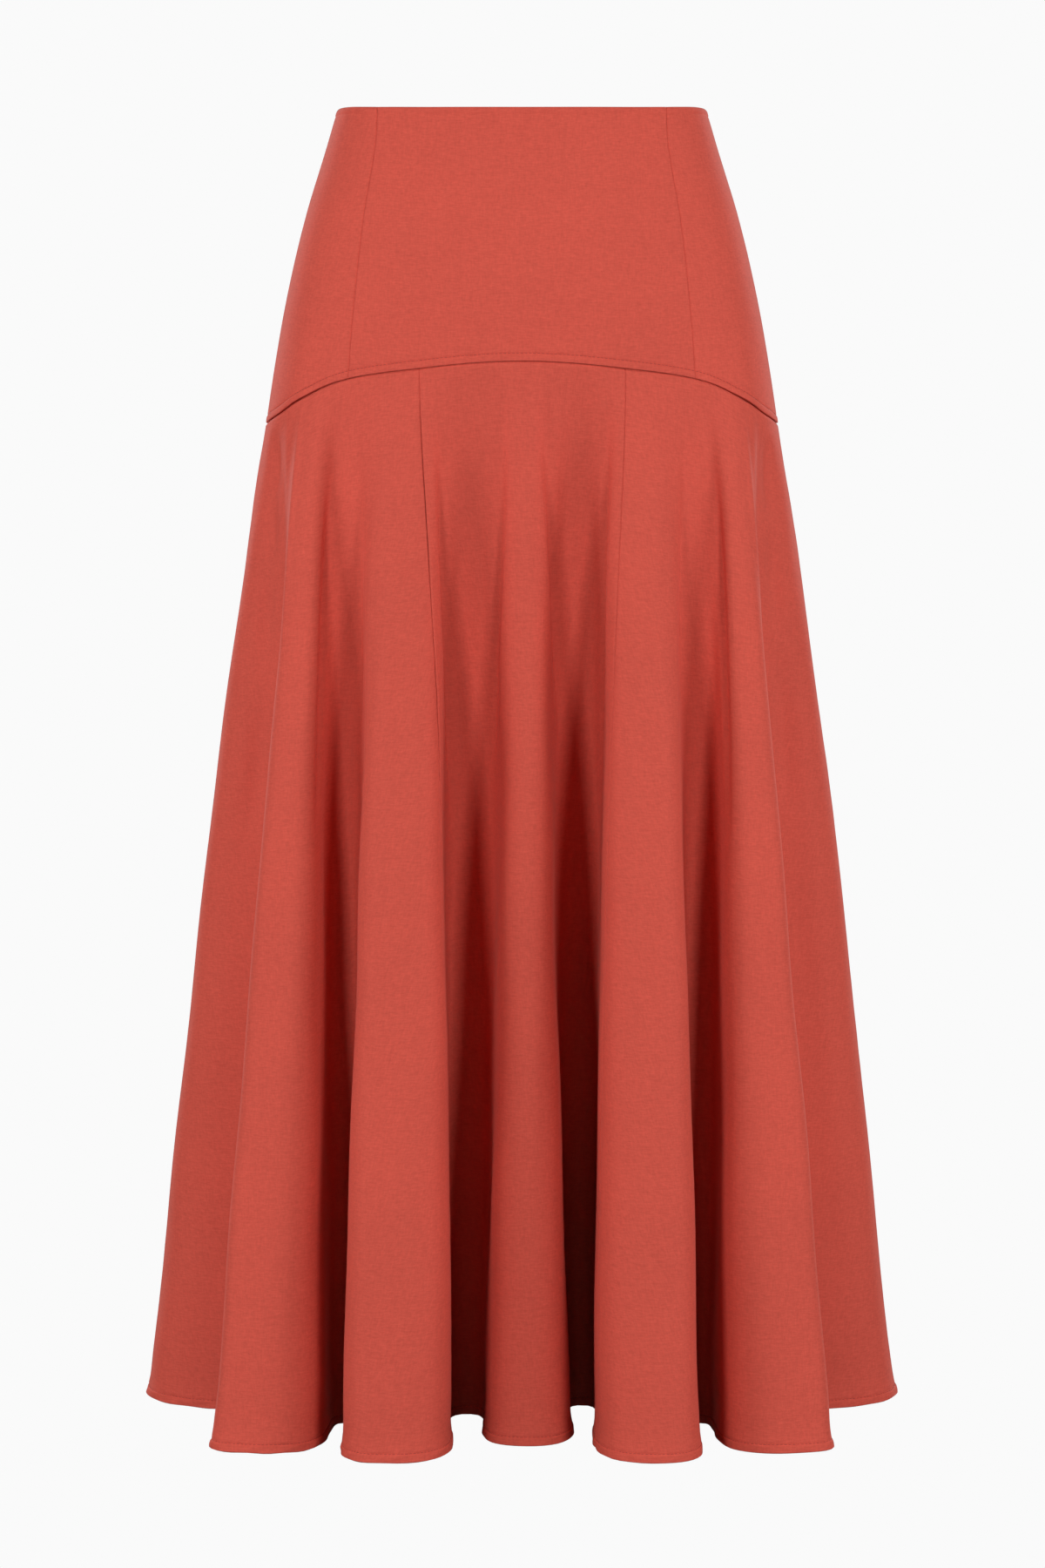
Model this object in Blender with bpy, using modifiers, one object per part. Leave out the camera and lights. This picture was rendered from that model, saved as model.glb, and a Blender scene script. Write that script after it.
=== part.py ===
"""Flared midi skirt with a fitted hip yoke, standing open as it is worn.

Metres in the scene, millimetres in the tables and functions below.  +Z is up and the front faces -Y.
The origin is the middle of the waist opening.  Left and right are the wearer's: left is +X.

The yoke is a smooth ring that widens from the waist to the hip.  The skirt hangs from the yoke's curved
seam, and its extra width falls into twelve soft folds.  Each fold is a crown or a floor with a place on the
yoke seam and a place at the hem; the cloth between two of them is one S-shaped wall.  The gores are cut out
of that one surface along their seams, so they follow each other exactly.
"""
import math

import bpy
import bmesh
import numpy as np
from mathutils import Vector

MM = 0.001

# ---- named sizes, millimetres --------------------------------------------------------------------------
HEM_Z = -901.5          # the hem's height below the waist edge
CLOTH = 1.2             # wall of the cloth
SEAM_GAP = 0.42         # clearance between two pieces that are sewn together
YOKE_GAP = 0.56         # the same under the yoke, where the seam's curve is drawn with two sets of facets
FALL = 0.33             # how much sooner than a straight line the folds spread below the yoke
SPREAD_EASE = 1.6
SEAM_EASE = 3.5         # how soon a gore's seam settles on its place at the hem

# the body's rings: half width at the sides, reach to the front and to the back, and how square the ring is
# (2 is an ellipse)
BODY = (
    # z, half_width, front, back, square
    (0.0, 126.5, 91.0, 95.0, 2.15),
    (-34.0, 136.5, 99.0, 105.0, 2.15),
    (-70.0, 147.6, 107.0, 116.0, 2.20),
    (-106.0, 157.0, 113.5, 126.0, 2.25),
    (-142.0, 164.8, 118.5, 133.5, 2.30),
    (-178.0, 171.0, 122.0, 138.0, 2.35),
    (-218.0, 177.1, 124.5, 140.0, 2.40),
)

# the seam under the yoke, highest at the centre front and centre back: azimuth from the centre, height
YOKE_SEAM = (
    # azimuth, z
    (0.0, -169.4),
    (15.0, -170.7),
    (30.0, -174.3),
    (45.0, -179.5),
    (55.0, -186.0),
    (65.0, -198.0),
    (75.0, -210.0),
    (90.0, -217.5),
)

# the folds, clockwise seen from above, from the wearer's right side across the front to the back.
# start: azimuth on the yoke seam.  x, reach: place at the hem, reach towards the front.  faces: the way it
# faces at the hem.  before, after: how far it carries on straight to each side at the hem.  swell: how soon
# its roundness comes (1 grows evenly down to the hem)
FOLDS = (
    # name, start, x, reach, faces, before, after, swell
    ("crown_side_right", -87.0, -263.5, 3.0, -84.0, 44.0, 62.0, 1.2),
    ("floor_1", -71.5, -162.0, 84.0, -60.0, 40.0, 34.0, 2.0),
    ("crown_2", -60.0, -178.0, 193.0, -6.0, 88.0, 68.0, 1.1),
    ("floor_2", -50.5, -119.5, 101.0, -18.0, 30.0, 24.0, 4.5),
    ("crown_3", -35.0, -90.0, 222.7, 0.0, 64.0, 80.0, 1.6),
    ("floor_3", -15.3, -38.0, 71.5, 0.0, 42.0, 32.0, 3.2),
    ("crown_front", 1.5, 3.0, 171.0, 0.0, 54.0, 64.0, 0.9),
    ("floor_4", 17.2, 42.5, 43.5, 0.0, 36.0, 36.0, 3.2),
    ("crown_5", 35.0, 90.5, 222.7, 0.0, 78.0, 62.0, 1.5),
    ("floor_5", 50.5, 120.0, 101.0, 18.0, 24.0, 30.0, 4.5),
    ("crown_6", 60.0, 178.0, 193.0, 6.0, 68.0, 87.0, 1.1),
    ("floor_6", 71.5, 162.0, 84.0, 60.0, 34.0, 40.0, 2.0),
    ("crown_side_left", 88.0, 263.5, 3.0, 84.0, 62.0, 44.0, 1.2),
    ("floor_7", 104.0, 166.0, -58.0, 106.0, 40.0, 36.0, 2.2),
    ("crown_8", 118.0, 196.0, -160.0, 132.0, 66.0, 62.0, 1.3),
    ("floor_8", 131.0, 122.0, -104.0, 140.0, 30.0, 28.0, 2.4),
    ("crown_9", 145.0, 106.0, -226.0, 160.0, 62.0, 66.0, 1.4),
    ("floor_9", 159.0, 62.0, -92.0, 164.0, 30.0, 34.0, 2.6),
    ("crown_back", 174.0, 12.0, -214.0, 178.0, 58.0, 62.0, 1.1),
    ("floor_10", 189.0, -36.0, -86.0, 184.0, 30.0, 32.0, 2.6),
    ("crown_11", 204.0, -88.0, -232.0, 198.0, 70.0, 60.0, 1.5),
    ("floor_11", 219.0, -116.0, -112.0, 214.0, 28.0, 30.0, 2.4),
    ("crown_12", 233.0, -184.0, -174.0, 226.0, 58.0, 66.0, 1.2),
    ("floor_12", 253.0, -170.0, -64.0, 256.0, 38.0, 40.0, 2.2),
)

# the seams between the gores: the fold each runs after, and how far along the wall to the next fold
GORE_SEAMS = {
    # name: fold, share at the yoke, share at the hem
    "side_right": ("floor_12", 0.85, 0.92),
    "front_right": ("crown_3", 0.215, 0.47),
    "front_left": ("floor_4", 0.775, 0.67),
    "side_left": ("crown_side_left", 0.125, 0.08),
    "back_left": ("floor_8", 1.20, 0.95),
    "back_right": ("crown_11", 0.55, 0.10),
}
GORES = (
    # node, seam before, seam after
    ("gore_side_front_right", "side_right", "front_right"),
    ("gore_front_centre", "front_right", "front_left"),
    ("gore_side_front_left", "front_left", "side_left"),
    ("gore_side_back_left", "side_left", "back_left"),
    ("gore_back_centre", "back_left", "back_right"),
    ("gore_side_back_right", "back_right", "side_right"),
)
GORE_ROWS = (0.0, 0.006, 0.06, 0.14, 0.25, 0.40, 0.60, 0.80, 1.0)
GORE_COLUMNS_PER_WALL = 6
SEAM_COLUMN = 3.0       # a narrow column beside each seam, so that two gores turn together there

# the yoke's shaped seams: azimuth from the centre front at each height, the same on both sides
YOKE_FRONT_SEAM = (
    # z, azimuth
    (0.0, 58.4),
    (-23.0, 55.8),
    (-72.0, 53.6),
    (-120.0, 51.8),
    (-175.0, 50.4),
)
YOKE_BACK_SEAM = (
    # z, azimuth
    (0.0, 125.0),
    (-60.0, 128.5),
    (-120.0, 131.0),
    (-185.0, 132.5),
)
YOKE_PANELS = (
    # node, seam before, seam after, columns
    ("yoke_side_front_right", "-side", "-front", 8),
    ("yoke_front_centre", "-front", "+front", 12),
    ("yoke_side_front_left", "+front", "+side", 8),
    ("yoke_side_back_left", "+side", "+back", 8),
    ("yoke_back_centre_left", "+back", "centre_back", 7),
    ("yoke_back_centre_right", "centre_back", "-back", 7),
    ("yoke_side_back_right", "-back", "-side", 8),
)
YOKE_ROWS = (0.0, 0.17, 0.36, 0.57, 0.79, 0.98, 1.0)

# the concealed zip in the centre back seam
ZIP_TOP = -2.0
ZIP_BOTTOM = -164.0
TAPE_WIDTH = 11.5
TAPE = 0.8
TAPE_CLEAR = 0.95       # between the yoke's inside and the tape
COIL_WIDTH = 1.7
COIL = 1.1              # the closed coil stands this far in from the tape
HEAD_Z = -9.5           # height of the pull's pivot
HEAD_STAND = 1.7        # the pivot stands this far off the cloth
NECK_HALF = 0.6
NECK_LENGTH = 6.4
NOTCH_HALF = 1.0        # the seam stays open this far each side of the slider's neck
NOTCH_LENGTH = 7.4
BAIL_INNER = 0.95
BAIL_OUTER = 1.75
BAIL_HALF = 0.7
SLIDER_HALF = 2.6
SLIDER_LENGTH = 8.6
SLIDER_DEPTH = 2.4
PULL_THICK = 1.0
PULL_EYE_HALF = 1.3
PULL_EYE_FAR = 2.6
PULL_OUTLINE = (
    # z, half_width, half of the tab's outline from its eye to its round end
    (0.55, 1.55),
    (0.15, 2.1),
    (-2.6, 2.1),
    (-6.0, 1.75),
    (-11.0, 2.1),
    (-16.0, 2.9),
    (-19.5, 3.2),
    (-22.0, 2.75),
    (-23.6, 1.6),
    (-24.1, 0.55),
)

COLOURS = {
    # name: linear red, green, blue, roughness, metallic
    "cloth": (0.610, 0.093, 0.065, 0.85, 0.0),
    "zip_tape": (0.520, 0.075, 0.052, 0.90, 0.0),
    "lacquered_metal": (0.500, 0.070, 0.050, 0.35, 0.4),
}


# ---- the surface -----------------------------------------------------------------------------------------
def read(table, column, at):
    """Smooth reading of a table whose first column rises or falls steadily."""
    rows = sorted(table, key=lambda row: row[0])
    x = np.array([row[0] for row in rows], float)
    y = np.array([row[column] for row in rows], float)
    slope = np.empty_like(y)
    slope[1:-1] = (y[2:] - y[:-2]) / (x[2:] - x[:-2])
    slope[0] = (y[1] - y[0]) / (x[1] - x[0])
    slope[-1] = (y[-1] - y[-2]) / (x[-1] - x[-2])
    at = np.clip(np.asarray(at, float), x[0], x[-1])
    i = np.clip(np.searchsorted(x, at) - 1, 0, len(x) - 2)
    h = x[i + 1] - x[i]
    s = (at - x[i]) / h
    return ((1 + 2 * s) * (1 - s) ** 2 * y[i] + s * (1 - s) ** 2 * h * slope[i]
            + s * s * (3 - 2 * s) * y[i + 1] + s * s * (s - 1) * h * slope[i + 1])


# mirrored past both ends, so that the seam is level at the centre and at the side
YOKE_SEAM_MIRRORED = (tuple((-row[0], row[1]) for row in YOKE_SEAM[1:3]) + YOKE_SEAM
                      + tuple((180.0 - row[0], row[1]) for row in YOKE_SEAM[-3:-1]))


def seam_height(azimuth):
    """Height of the yoke seam at an azimuth from the centre front."""
    a = np.abs((np.asarray(azimuth, float) + 180.0) % 360.0 - 180.0)
    return read(YOKE_SEAM_MIRRORED, 1, np.minimum(a, 180.0 - a))


def body_ring(azimuth, z):
    """x and reach of the body's ring at a height."""
    a = np.radians(azimuth)
    n = read(BODY, 4, z)
    depth = np.where(np.cos(a) >= 0, read(BODY, 2, z), read(BODY, 3, z))
    r = (np.abs(np.sin(a) / read(BODY, 1, z)) ** n + np.abs(np.cos(a) / depth) ** n) ** (-1 / n)
    return r * np.sin(a), r * np.cos(a)


def seam_ring(azimuth):
    """x and reach of the yoke seam."""
    return body_ring(azimuth, seam_height(azimuth))


WALLS = len(FOLDS)
NAMES = [fold[0] for fold in FOLDS]


def column(number):
    return np.array([fold[number] for fold in FOLDS] + [FOLDS[0][number]], float)


START = column(1)
for fold_number in range(1, WALLS + 1):
    while START[fold_number] < START[fold_number - 1]:
        START[fold_number] += 360.0
HEM_X, HEM_REACH, HEM_FACES, BEFORE, AFTER, SWELL = (column(number) for number in range(2, 8))
TOP_X, TOP_REACH = seam_ring(START)
ahead, behind = seam_ring(START + 0.5), seam_ring(START - 0.5)
TOP_FACES = np.degrees(np.arctan2(behind[1] - ahead[1], ahead[0] - behind[0]))
TURN = (HEM_FACES - TOP_FACES + 180.0) % 360.0 - 180.0
THIRD = np.hypot(np.diff(TOP_X), np.diff(TOP_REACH)) / 3.0


def wall_curve(wall, share, spread, down):
    """A cubic from fold to fold, part way from the flat yoke seam to the hem."""
    nxt = wall + 1
    leave = np.radians(TOP_FACES[wall] + TURN[wall] * spread)
    reach = np.radians(TOP_FACES[nxt] + TURN[nxt] * spread)
    after = THIRD[wall] + (AFTER[wall] - THIRD[wall]) * (1 - (1 - down) ** SWELL[wall])
    before = THIRD[wall] + (BEFORE[nxt] - THIRD[wall]) * (1 - (1 - down) ** SWELL[nxt])
    point = []
    for top, hem, out, into in ((TOP_X, HEM_X, np.cos(leave), np.cos(reach)),
                                (TOP_REACH, HEM_REACH, -np.sin(leave), -np.sin(reach))):
        p = top[wall] + (hem[wall] - top[wall]) * spread
        s = top[nxt] + (hem[nxt] - top[nxt]) * spread
        q, r = p + out * after, s - into * before
        point.append(p * (1 - share) ** 3 + 3 * q * share * (1 - share) ** 2
                     + 3 * r * share ** 2 * (1 - share) + s * share ** 3)
    return point


def skirt_row(down, steps=48):
    """The closed row of cloth at a share of the way down: fold number, x, reach, z and length along it."""
    wall = np.append(np.repeat(np.arange(WALLS), steps), WALLS - 1)
    share = np.append(np.tile(np.arange(steps) / steps, WALLS), 1.0)
    azimuth = START[wall] + (START[wall + 1] - START[wall]) * share
    base_x, base_reach = seam_ring(azimuth)
    x, reach = wall_curve(wall, share, down + FALL * down * (1 - down) ** SPREAD_EASE, down)
    flat_x, flat_reach = wall_curve(wall, share, 0.0, 0.0)
    x, reach = base_x + x - flat_x, base_reach + reach - flat_reach
    top = seam_height(azimuth)
    z = top + (HEM_Z - top) * down
    length = np.append(0.0, np.cumsum(np.hypot(np.diff(x), np.diff(reach))))
    fold = np.interp(length, length[::steps], np.arange(WALLS + 1))
    return fold, x, reach, z, length


def seam_fold(name, down):
    """Where a gore's seam runs, as a fold number and the share of the wall after it."""
    fold, at_yoke, at_hem = GORE_SEAMS[name]
    return NAMES.index(fold) + at_yoke + (at_hem - at_yoke) * (1 - (1 - down) ** SEAM_EASE)


def gore_grid(before, after):
    """Rows of points of one gore, from the yoke seam to the hem."""
    start, end = seam_fold(before, 1.0), seam_fold(after, 1.0)
    end += WALLS if end < start else 0
    steps = np.arange(math.floor(start * GORE_COLUMNS_PER_WALL) + 1, math.ceil(end * GORE_COLUMNS_PER_WALL))
    steps = steps / GORE_COLUMNS_PER_WALL
    near = 0.6 / GORE_COLUMNS_PER_WALL
    steps = steps[(steps > start + near) & (steps < end - near)]
    share = (np.concatenate(([start], steps, [end])) - start) / (end - start)
    grid = []
    for down in GORE_ROWS:
        fold, x, reach, z, length = skirt_row(down)
        # twice round, so that a gore may cross the first fold
        fold = np.concatenate((fold, fold[1:] + WALLS))
        length = np.concatenate((length, length[1:] + length[-1]))
        x, reach, z = (np.concatenate((v, v[1:])) for v in (x, reach, z))
        a, b = seam_fold(before, down), seam_fold(after, down)
        b += WALLS if b < a else 0
        along = np.interp(a + (b - a) * share, fold, length)
        along[0] += SEAM_GAP / 2
        along[-1] -= SEAM_GAP / 2
        along = np.concatenate((along[:1], [along[0] + SEAM_COLUMN], along[1:-1], [along[-1] - SEAM_COLUMN], along[-1:]))
        grid.append([Vector((np.interp(s, length, x), -np.interp(s, length, reach),
                             np.interp(s, length, z) - YOKE_GAP / 2 * (1 - down))) for s in along])
    return grid


def yoke_azimuth(seam, v):
    """Azimuth of a yoke seam at a share v of the way down from the waist."""
    if seam == "centre_back":
        return 180.0
    sign = -1.0 if seam[0] == "-" else 1.0
    if seam[1:] == "side":
        return sign * 90.0
    table = YOKE_FRONT_SEAM if seam[1:] == "front" else YOKE_BACK_SEAM
    azimuth = 90.0
    for _ in range(6):
        azimuth = float(read(table, 1, v * seam_height(azimuth)))
    return sign * azimuth


def yoke_grid(before, after, columns):
    """Rows of points of one yoke panel, from the waist edge to the yoke seam."""
    grid = []
    for v in YOKE_ROWS:
        a, b = yoke_azimuth(before, v), yoke_azimuth(after, v)
        b += 360.0 if b < a else 0.0
        radius = math.hypot(*body_ring(a, v * float(seam_height(a))))
        clear = math.degrees(SEAM_GAP / 2 / radius)
        row = []
        for azimuth in np.linspace(a + clear, b - clear, columns + 1):
            z = v * (float(seam_height(azimuth)) + YOKE_GAP / 2)
            x, reach = body_ring(azimuth, z)
            row.append(Vector((float(x), -float(reach), z)))
        grid.append(row)
    return grid


# ---- objects ---------------------------------------------------------------------------------------------
def material(name):
    red, green, blue, roughness, metallic = COLOURS[name]
    mat = bpy.data.materials.get(name)
    if mat is None:
        mat = bpy.data.materials.new(name)
        mat.use_nodes = True
        shader = mat.node_tree.nodes["Principled BSDF"]
        shader.inputs["Base Color"].default_value = (red, green, blue, 1.0)
        shader.inputs["Roughness"].default_value = roughness
        shader.inputs["Metallic"].default_value = metallic
    return mat


def add(name, mesh, look, where):
    obj = bpy.data.objects.new(name, mesh)
    mesh.materials.append(material(look))
    where.objects.link(obj)
    return obj


def sheet(name, grid, look, where, wall, smooth=True):
    """A lofted sheet of points, given its wall towards the inside."""
    bm = bmesh.new()
    verts = [[bm.verts.new(p * MM) for p in row] for row in grid]
    for upper, lower in zip(verts, verts[1:]):
        for i in range(len(upper) - 1):
            # seen from outside, azimuth grows to the right at the front
            bm.faces.new((upper[i], lower[i], lower[i + 1], upper[i + 1]))
    bm.normal_update()
    mesh = bpy.data.meshes.new(name)
    bm.to_mesh(mesh)
    bm.free()
    if smooth:
        mesh.shade_smooth()
    obj = add(name, mesh, look, where)
    solid = obj.modifiers.new("wall", "SOLIDIFY")
    solid.thickness = wall * MM
    solid.offset = -1.0
    solid.use_even_offset = True
    return obj


def box(bm, centre, size):
    made = bmesh.ops.create_cube(bm, size=1.0)
    for v in made["verts"]:
        v.co = Vector([c + k * s for c, k, s in zip(centre, v.co, size)]) * MM


def block(name, boxes, look, where):
    """Plain boxes as one mesh, each (centre, size)."""
    bm = bmesh.new()
    for centre, size in boxes:
        box(bm, centre, size)
    mesh = bpy.data.meshes.new(name)
    bm.to_mesh(mesh)
    bm.free()
    return add(name, mesh, look, where)


def cut(obj, tool, operation="DIFFERENCE"):
    mod = obj.modifiers.new(operation.lower(), "BOOLEAN")
    mod.operation = operation
    mod.solver = "EXACT"
    mod.object = tool
    tool.hide_render = True
    tool.display_type = "WIRE"


def centre_back_frame():
    """The point of the centre back seam beside the pull's pivot, and the cloth's lean there."""
    y = [float(-body_ring(180.0, z)[1]) for z in (HEAD_Z + 8, HEAD_Z, HEAD_Z - 14)]
    lean = math.atan2(y[2] - y[0], 22.0)
    outward = Vector((0.0, math.cos(lean), math.sin(lean)))
    return (Vector((0.0, y[1], HEAD_Z)) + outward * HEAD_STAND) * MM, lean


def tape_grid(side):
    """The tape of one side of the zip, a little inside the yoke, from the centre back outwards."""
    grid = []
    for z in np.linspace(ZIP_TOP, ZIP_BOTTOM, 8):
        row = []
        for across in (0.25, 1.9, 6.0, TAPE_WIDTH):
            radius = float(-body_ring(180.0, z)[1])
            azimuth = 180.0 - side * math.degrees(across / radius)
            x, reach = body_ring(azimuth, z)
            xo, ro = body_ring(azimuth + 0.5, z)
            tangent = Vector((float(xo - x), -float(ro - reach), 0.0)).normalized()
            x2, r2 = body_ring(azimuth, z - 2.0)
            downward = Vector((float(x2 - x), -float(r2 - reach), -2.0)).normalized()
            normal = tangent.cross(downward)
            normal *= 1 if normal.y > 0 else -1
            row.append(Vector((float(x), -float(reach), float(z))) - normal * (CLOTH + TAPE_CLEAR))
        # left to right seen from outside, whichever side this is
        grid.append(row if side > 0 else row)
    if side > 0:
        grid = [row[::-1] for row in grid]
    return grid


def coil(name, side, where):
    """The closed half of the coil along the tape's inner edge."""
    path = bpy.data.curves.new(name, "CURVE")
    path.dimensions = "3D"
    spline = path.splines.new("POLY")
    heights = np.linspace(HEAD_Z - SLIDER_LENGTH / 2 - 1.2, ZIP_BOTTOM + 1.5, 8)
    spline.points.add(len(heights) - 1)
    for point, z in zip(spline.points, heights):
        y = float(-body_ring(180.0, z)[1]) - (CLOTH + TAPE_CLEAR + TAPE) / 0.96 - 0.35
        point.co = (side * (0.25 + COIL_WIDTH / 2) * MM, y * MM, z * MM, 1.0)
    path.bevel_depth = COIL_WIDTH / 2 * MM
    path.bevel_resolution = 1
    path.use_fill_caps = True
    return path


def main():
    for obj in list(bpy.data.objects):
        bpy.data.objects.remove(obj)
    skirt = bpy.data.collections.new("flared_midi_skirt")
    cutters = bpy.data.collections.new("cutters")
    bpy.context.scene.collection.children.link(skirt)
    bpy.context.scene.collection.children.link(cutters)

    waist = bpy.data.objects.new("waist", None)
    skirt.objects.link(waist)

    pivot, lean = centre_back_frame()
    head = bpy.data.objects.new("zip_head", None)
    head.location = pivot
    head.rotation_euler = (lean, 0.0, 0.0)
    head.parent = waist
    skirt.objects.link(head)

    # room for the slider's neck in the centre back seam and between the tapes
    notch = block("neck_room", [((0, -3.0, 0), (2 * NOTCH_HALF, 9.0, NOTCH_LENGTH))], "cloth", cutters)
    notch.parent = head

    for name, before, after, columns in YOKE_PANELS:
        panel = sheet(name, yoke_grid(before, after, columns), "cloth", skirt, CLOTH)
        panel.parent = waist
        if "centre_back" in (before, after):
            cut(panel, notch)
    for name, before, after in GORES:
        sheet(name, gore_grid(before, after), "cloth", skirt, CLOTH).parent = waist

    for name, side in (("zip_tape_left", 1), ("zip_tape_right", -1)):
        tape = sheet(name, tape_grid(side), "zip_tape", skirt, TAPE)
        tape.parent = waist
        cut(tape, notch)
        path = coil(name + "_coil", side, cutters)
        rope = bpy.data.objects.new(name + "_coil", path)
        cutters.objects.link(rope)
        bpy.context.view_layer.update()
        mesh = bpy.data.meshes.new_from_object(rope.evaluated_get(bpy.context.evaluated_depsgraph_get()))
        bm = bmesh.new()
        bm.from_mesh(mesh)
        bmesh.ops.remove_doubles(bm, verts=bm.verts, dist=0.00001)
        bm.to_mesh(mesh)
        bm.free()
        bpy.data.objects.remove(rope)
        solid = bpy.data.objects.new(name + "_coil", mesh)
        cutters.objects.link(solid)
        cut(tape, solid, "UNION")

    # the slider: its body inside, its neck through the seam, and the bail that the pull hangs from
    inside = -HEAD_STAND - CLOTH - TAPE_CLEAR - TAPE - 0.35
    slider = block("zip_slider", [
        ((0, (inside - 0.9) / 2 - 0.35, 0), (2 * NECK_HALF, abs(inside) - 0.9 + 0.9, NECK_LENGTH)),
    ], "lacquered_metal", skirt)
    body = block("slider_body", [((0, inside - SLIDER_DEPTH / 2, 0),
                                  (2 * SLIDER_HALF, SLIDER_DEPTH, SLIDER_LENGTH))], "lacquered_metal", cutters)
    round_body = body.modifiers.new("round", "BEVEL")
    round_body.width = 0.7 * MM
    round_body.segments = 2
    # an arch over the pivot: half a ring and two short legs down to the neck
    arch = bpy.data.meshes.new("bail")
    bm = bmesh.new()
    legs = -1.35
    profile = [(math.cos(math.radians(a)), math.sin(math.radians(a))) for a in range(0, 181, 20)]
    outer = [(BAIL_OUTER, legs)] + [(BAIL_OUTER * c, BAIL_OUTER * s) for c, s in profile] + [(-BAIL_OUTER, legs)]
    inner = [(BAIL_INNER, legs)] + [(BAIL_INNER * c, BAIL_INNER * s) for c, s in profile] + [(-BAIL_INNER, legs)]
    rings = [[bm.verts.new(Vector((x, y, z)) * MM) for z, y in line]
             for line, x in ((outer, -BAIL_HALF), (outer, BAIL_HALF), (inner, BAIL_HALF), (inner, -BAIL_HALF))]
    for k in range(4):
        a, b = rings[k], rings[(k + 1) % 4]
        for i in range(len(a) - 1):
            bm.faces.new((a[i], a[i + 1], b[i + 1], b[i]))
    bm.faces.new([ring[0] for ring in rings])
    bm.faces.new([ring[-1] for ring in rings][::-1])
    bmesh.ops.recalc_face_normals(bm, faces=bm.faces)
    bm.to_mesh(arch)
    bm.free()
    bail = add("slider_bail", arch, "lacquered_metal", cutters)
    for piece in (body, bail):
        piece.parent = head
        cut(slider, piece, "UNION")
    slider.parent = head

    # the pull: a flat teardrop with an eye whose end bar runs under the bail, its origin on the hinge
    outline = bpy.data.curves.new("zip_pull", "CURVE")
    outline.dimensions = "2D"
    outline.fill_mode = "BOTH"
    outline.extrude = PULL_THICK / 2 * MM
    half = [(w, z) for z, w in PULL_OUTLINE]
    loops = (half + [(-w, z) for w, z in half[::-1]],
             [(-PULL_EYE_HALF, -0.5), (PULL_EYE_HALF, -0.5), (PULL_EYE_HALF, -PULL_EYE_FAR),
              (-PULL_EYE_HALF, -PULL_EYE_FAR)])
    for points in loops:
        spline = outline.splines.new("POLY")
        spline.points.add(len(points) - 1)
        for point, (x, z) in zip(spline.points, points):
            point.co = (x * MM, z * MM, 0.0, 1.0)
        spline.use_cyclic_u = True
    outline.materials.append(material("lacquered_metal"))
    pull = bpy.data.objects.new("zip_pull", outline)
    skirt.objects.link(pull)
    pull.rotation_euler = (math.radians(90.0), 0.0, 0.0)
    pull.parent = head


main()
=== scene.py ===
"""Looks of the flared midi skirt: cloth panels, seams, stitching, hem and the concealed zip, with studio light.

Metres in the scene, millimetres in the tables and functions, as in the construction.  +Z up, front to -Y,
origin in the middle of the waist opening, the wearer's left at +X.
"""
import json
import math

import bpy
import bmesh
import numpy as np
from mathutils import Matrix, Vector


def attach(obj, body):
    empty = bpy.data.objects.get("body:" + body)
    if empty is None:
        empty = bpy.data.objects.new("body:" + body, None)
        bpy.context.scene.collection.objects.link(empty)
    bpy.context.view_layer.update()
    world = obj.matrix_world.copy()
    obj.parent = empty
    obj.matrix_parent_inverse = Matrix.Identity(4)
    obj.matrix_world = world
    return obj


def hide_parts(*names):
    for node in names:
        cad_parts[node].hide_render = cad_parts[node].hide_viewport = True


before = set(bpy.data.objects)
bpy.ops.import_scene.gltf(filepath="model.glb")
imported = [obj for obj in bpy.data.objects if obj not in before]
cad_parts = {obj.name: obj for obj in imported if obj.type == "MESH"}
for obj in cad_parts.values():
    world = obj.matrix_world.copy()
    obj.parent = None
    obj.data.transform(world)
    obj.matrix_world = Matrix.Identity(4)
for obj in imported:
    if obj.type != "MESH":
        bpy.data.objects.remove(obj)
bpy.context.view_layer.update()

MM = 0.001
TAU = 2 * math.pi
rng = np.random.default_rng(7)

# ---- the same form as the construction's ---------------------------------------------------------------
HEM_Z = -901.5
FALL = 0.33
SPREAD_EASE = 1.6
SEAM_EASE = 3.5
CLEAR = 0.12            # each panel stops this far short of its seam, and its edge rounds over into it

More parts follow.
